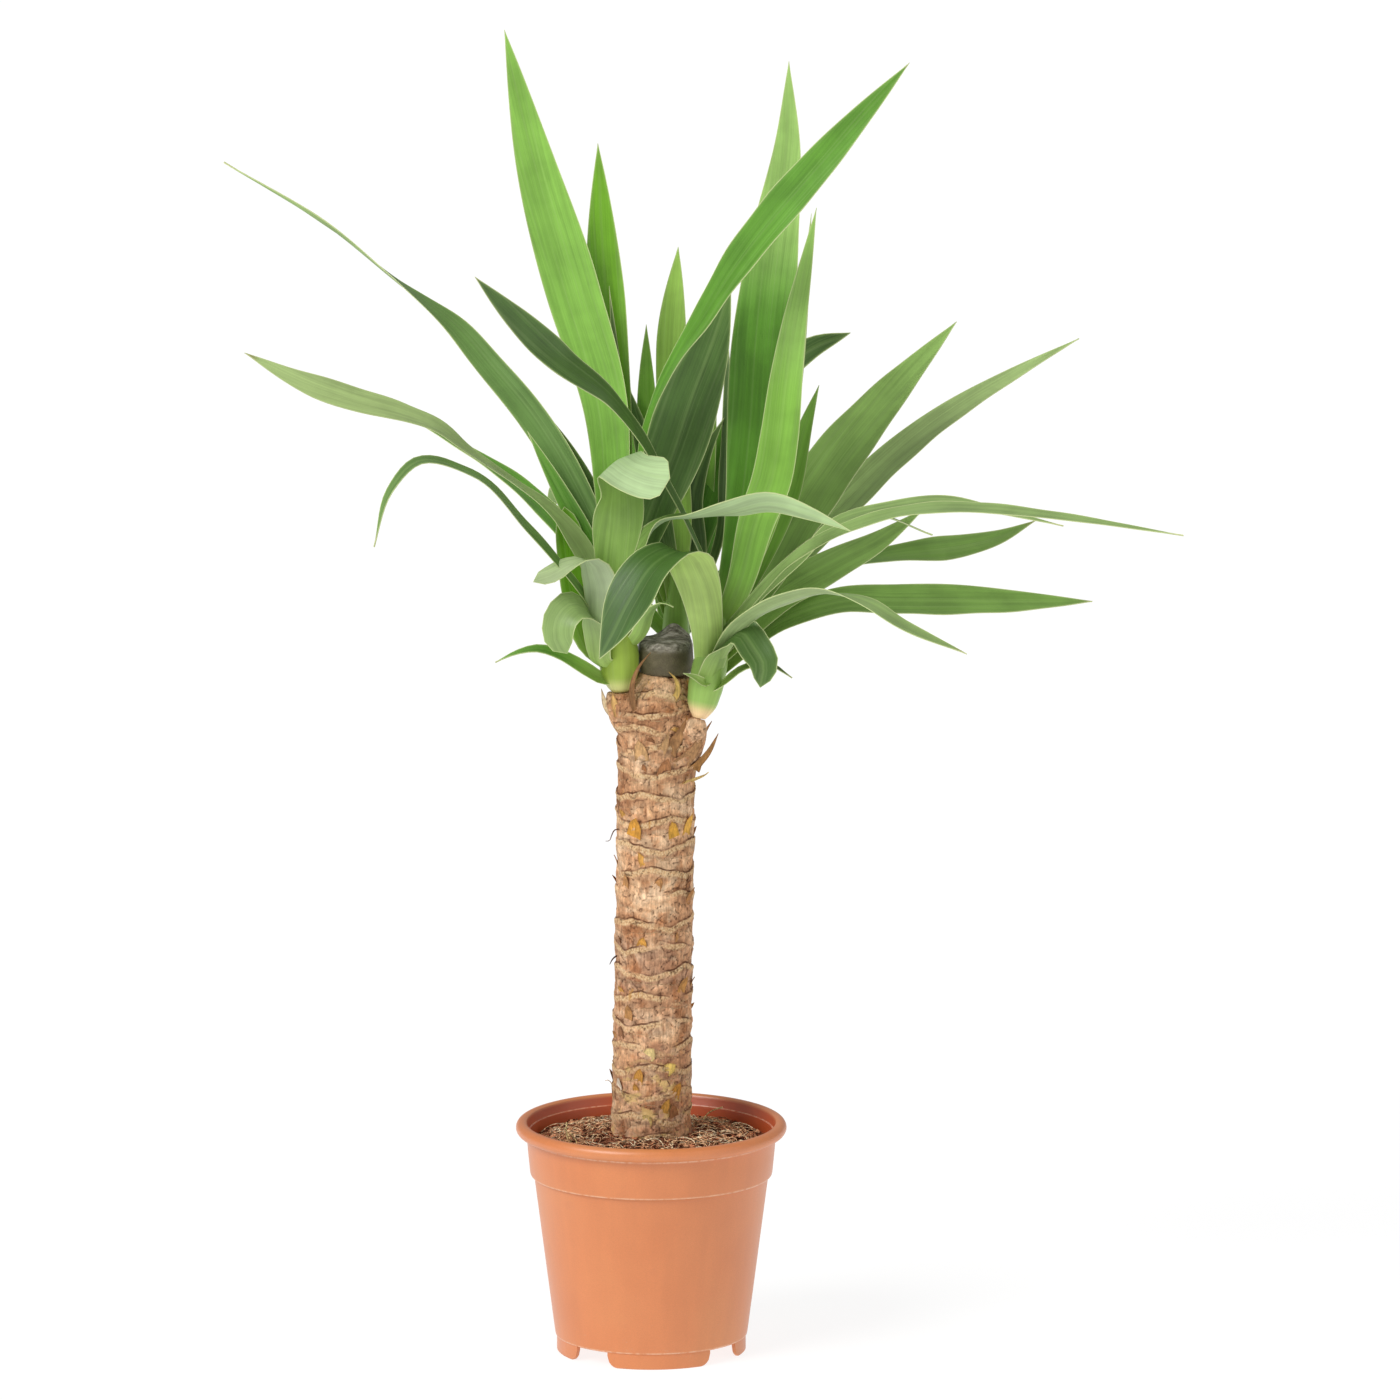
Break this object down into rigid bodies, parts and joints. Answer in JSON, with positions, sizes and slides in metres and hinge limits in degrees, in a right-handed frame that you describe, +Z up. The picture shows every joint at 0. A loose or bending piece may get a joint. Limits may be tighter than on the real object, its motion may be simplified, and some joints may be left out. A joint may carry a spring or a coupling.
{
  "type": "potted yucca",
  "caption": "House plant with a thick ringed cane, waxed top and leafy side shoots of long sword-shaped leaves, in a round footed nursery pot filled with soil.",
  "frame": {"origin": "middle of the plant's footprint, at the level of the surface that the pot's feet stand on; the pot's own axis is 29 mm to the left of it", "axes": "+Z up the cane; the pictured front looks along -Y, and +X is to the right in the picture"},
  "size_m": [0.5966, 0.3352, 0.8382],
  "materials": {
    "pot_plastic": "satin terracotta-coloured moulded plastic",
    "potting_soil": "loose dark brown crumbs with fibres",
    "cane_bark": "dry rough bark",
    "grey_wax": "weathered matt wax",
    "yucca_leaf": "smooth leathery leaf, slightly glossy above and paler below"
  },
  "bodies": {
    "root": {"pot": "pot_plastic", "soil": "potting_soil", "cane": "cane_bark", "wax_cap": "grey_wax", "shoot_left": "yucca_leaf", "shoot_right": "yucca_leaf", "shoot_back": "yucca_leaf"}
  },
  "joints": []
}
